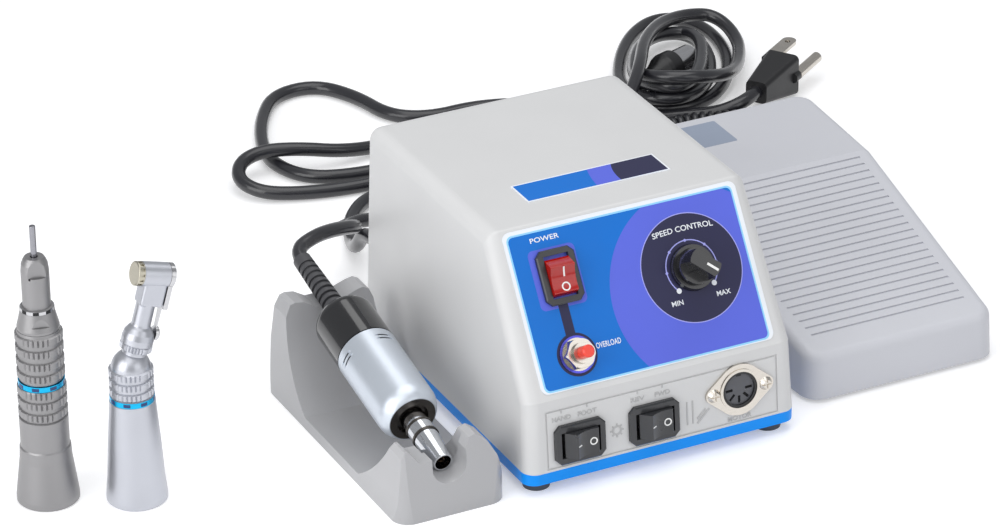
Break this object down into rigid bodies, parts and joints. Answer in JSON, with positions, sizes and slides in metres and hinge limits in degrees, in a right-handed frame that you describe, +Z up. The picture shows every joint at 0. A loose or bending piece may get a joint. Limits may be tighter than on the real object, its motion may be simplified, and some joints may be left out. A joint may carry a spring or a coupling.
{
  "type": "dental lab micromotor set",
  "caption": "Bench micromotor: sloped control unit with dial, rocker switches and overload button, motor in its cradle, ribbed foot pedal, corded plugs, straight and contra-angle handpieces.",
  "frame": {"origin": "on the table below the middle of the set, cords left out", "axes": "+X to the user's right along the set, +Y to the rear, +Z up"},
  "size_m": [0.4496, 0.3679, 0.1136],
  "materials": {
    "pale_housing": "smooth warm light grey moulded plastic, satin gloss",
    "tray_blue": "azure blue moulded plastic",
    "foot_rubber": "dark grey rubber",
    "steel_screw": "zinc-plated steel",
    "printed_blue": "printed polyester sheet: azure and violet-blue fields, navy dial disc, white border",
    "switch_black": "black moulded plastic",
    "rocker_red": "translucent red plastic",
    "nut_metal": "nickel-plated steel",
    "button_black": "black plastic",
    "button_red": "orange-red plastic",
    "knob_plastic": "black plastic with a fine edge knurl",
    "socket_metal": "plated steel flange",
    "insulator_black": "black insulator",
    "core_iron": "laminated steel core with a taped winding",
    "board_green": "green circuit board with parts on it",
    "relief_rubber": "black rubber",
    "fitting_black": "black plastic fitting",
    "nose_chrome": "polished steel",
    "collar_grey": "grey ring",
    "sleeve_silver": "satin anodised aluminium",
    "cap_black": "black anodised cap",
    "magnet_grey": "ferrite",
    "bearing_steel": "ball bearing steel",
    "brush_plastic": "brown brush plate with carbon brushes",
    "armature_steel": "wound rotor on a steel shaft",
    "relief_grey": "dark grey ribbed rubber",
    "cradle_plastic": "pale grey moulded plastic",
    "pedal_plastic": "pale grey moulded plastic",
    "spring_steel": "spring steel wire",
    "handpiece_gold": "champagne satin metal",
    "handpiece_steel": "bright turned steel",
    "ring_blue": "bright blue anodised ring",
    "cap_warm_grey": "warm grey satin metal",
    "cord_black": "black flexible cord",
    "plug_black": "black moulded plug with plated contacts"
  },
  "bodies": {
    "set": {"base_tray": "tray_blue", "rubber_feet": "foot_rubber", "case_screws": "steel_screw", "upper_housing": "pale_housing", "printed_panels": "printed_blue", "power_switch_body": "switch_black", "mode_switch_body": "switch_black", "direction_switch_body": "switch_black", "breaker_body": "fitting_black", "breaker_nut": "nut_metal", "potentiometer": "nut_metal", "socket_flange": "socket_metal", "socket_insert": "insulator_black", "transformer": "core_iron", "circuit_board": "board_green", "mains_gland": "relief_rubber", "fuse_holder": "fitting_black", "pedal_socket": "fitting_black", "coupling_nose": "nose_chrome", "motor_collar": "collar_grey", "motor_sleeve": "sleeve_silver", "motor_rear_cap": "cap_black", "stator_magnets": "magnet_grey", "motor_bearings": "bearing_steel", "brush_gear": "brush_plastic", "motor_strain_relief": "relief_grey", "motor_cradle": "cradle_plastic", "pedal_base": "pedal_plastic", "pedal_hinge_pin": "steel_screw", "pedal_springs": "spring_steel", "pedal_sensor": "board_green", "pedal_strain_relief": "relief_rubber", "straight_body": "handpiece_gold", "blue_rings": "ring_blue", "straight_nose": "handpiece_steel", "contra_body": "handpiece_gold", "contra_head": "handpiece_steel", "contra_cap": "cap_warm_grey", "mains_cord": "cord_black", "mains_plug": "plug_black", "motor_cord": "cord_black", "motor_cord_coil": "cord_black", "motor_plug": "plug_black", "pedal_cord": "cord_black", "pedal_plug": "plug_black"},
    "power_rocker": {"power_rocker": "rocker_red"},
    "mode_rocker": {"mode_rocker": "button_black"},
    "direction_rocker": {"direction_rocker": "button_black"},
    "reset_button": {"reset_button": "button_red"},
    "speed_knob": {"speed_knob": "knob_plastic"},
    "motor_armature": {"motor_armature": "armature_steel"},
    "treadle": {"pedal_treadle": "pedal_plastic"},
    "chuck_ring": {"straight_chuck_ring": "handpiece_gold"},
    "straight_spindle": {"straight_spindle": "bearing_steel", "straight_bur": "nose_chrome"},
    "contra_latch": {"contra_latch": "cap_warm_grey"},
    "contra_rear_shaft": {"contra_rear_shaft": "bearing_steel"},
    "contra_neck_shaft": {"contra_neck_shaft": "bearing_steel"},
    "contra_chuck": {"contra_chuck": "bearing_steel"}
  },
  "joints": [
    {"name": "power_switch", "type": "hinge", "parent": "set", "child": "power_rocker", "pos_m": [0.00049, -0.06834, 0.07384], "axis": [-1, 0, 0], "range_deg": [0, 24]},
    {"name": "mode_switch", "type": "hinge", "parent": "set", "child": "mode_rocker", "pos_m": [-0.00431, -0.09344, 0.01914], "axis": [0, -0.0872, -0.9962], "range_deg": [0, 24]},
    {"name": "direction_switch", "type": "hinge", "parent": "set", "child": "direction_rocker", "pos_m": [0.02699, -0.09344, 0.01914], "axis": [0, -0.0872, -0.9962], "range_deg": [0, 24]},
    {"name": "overload_reset", "type": "slide", "parent": "set", "child": "reset_button", "axis": [0, 0.8387, -0.5446], "range_m": [0, 0.0025], "stiffness_N_per_m": 400, "springref_m": -0.002},
    {"name": "speed_control", "type": "hinge", "parent": "set", "child": "speed_knob", "pos_m": [0.05419, -0.08429, 0.07407], "axis": [0, -0.8387, 0.5446], "range_deg": [0, 267]},
    {"name": "motor_spin", "type": "hinge", "parent": "set", "child": "motor_armature", "pos_m": [-0.05651, -0.04999, 0.02736], "axis": [0, 0.977, 0.213], "continuous": true},
    {"name": "treadle_press", "type": "hinge", "parent": "set", "child": "treadle", "pos_m": [0.14419, -0.07151, 0.0106], "axis": [-1, 0, 0], "range_deg": [0, 4], "stiffness_Nm_per_rad": 15, "springref_deg": -1.15, "deforming": ["pedal_springs"]},
    {"name": "chuck_ring_turn", "type": "hinge", "parent": "set", "child": "chuck_ring", "pos_m": [-0.18421, -0.01231, 0.0513], "axis": [0, 0, 1], "range_deg": [0, 50]},
    {"name": "straight_spin", "type": "hinge", "parent": "set", "child": "straight_spindle", "pos_m": [-0.18421, -0.01231, 0.027], "axis": [0, 0, 1], "continuous": true},
    {"name": "latch_swing", "type": "hinge", "parent": "set", "child": "contra_latch", "pos_m": [-0.13893, -0.02761, 0.0897], "axis": [0.9613, 0, -0.2756], "range_deg": [0, 40]},
    {"name": "contra_rear_spin", "type": "hinge", "parent": "set", "child": "contra_rear_shaft", "pos_m": [-0.15471, -0.02761, 0.027], "axis": [0, 0, 1], "continuous": true},
    {"name": "contra_neck_spin", "type": "hinge", "parent": "set", "child": "contra_neck_shaft", "pos_m": [-0.15195, -0.02761, 0.06461], "axis": [0.2756, 0, 0.9613], "continuous": true},
    {"name": "contra_chuck_spin", "type": "hinge", "parent": "set", "child": "contra_chuck", "pos_m": [-0.14431, -0.02761, 0.09124], "axis": [0.9613, 0, -0.2756], "continuous": true}
  ],
  "couplings": [
    {"joint": "contra_neck_spin", "follows": "contra_rear_spin", "ratio": -1},
    {"joint": "contra_chuck_spin", "follows": "contra_rear_spin", "ratio": 1}
  ]
}
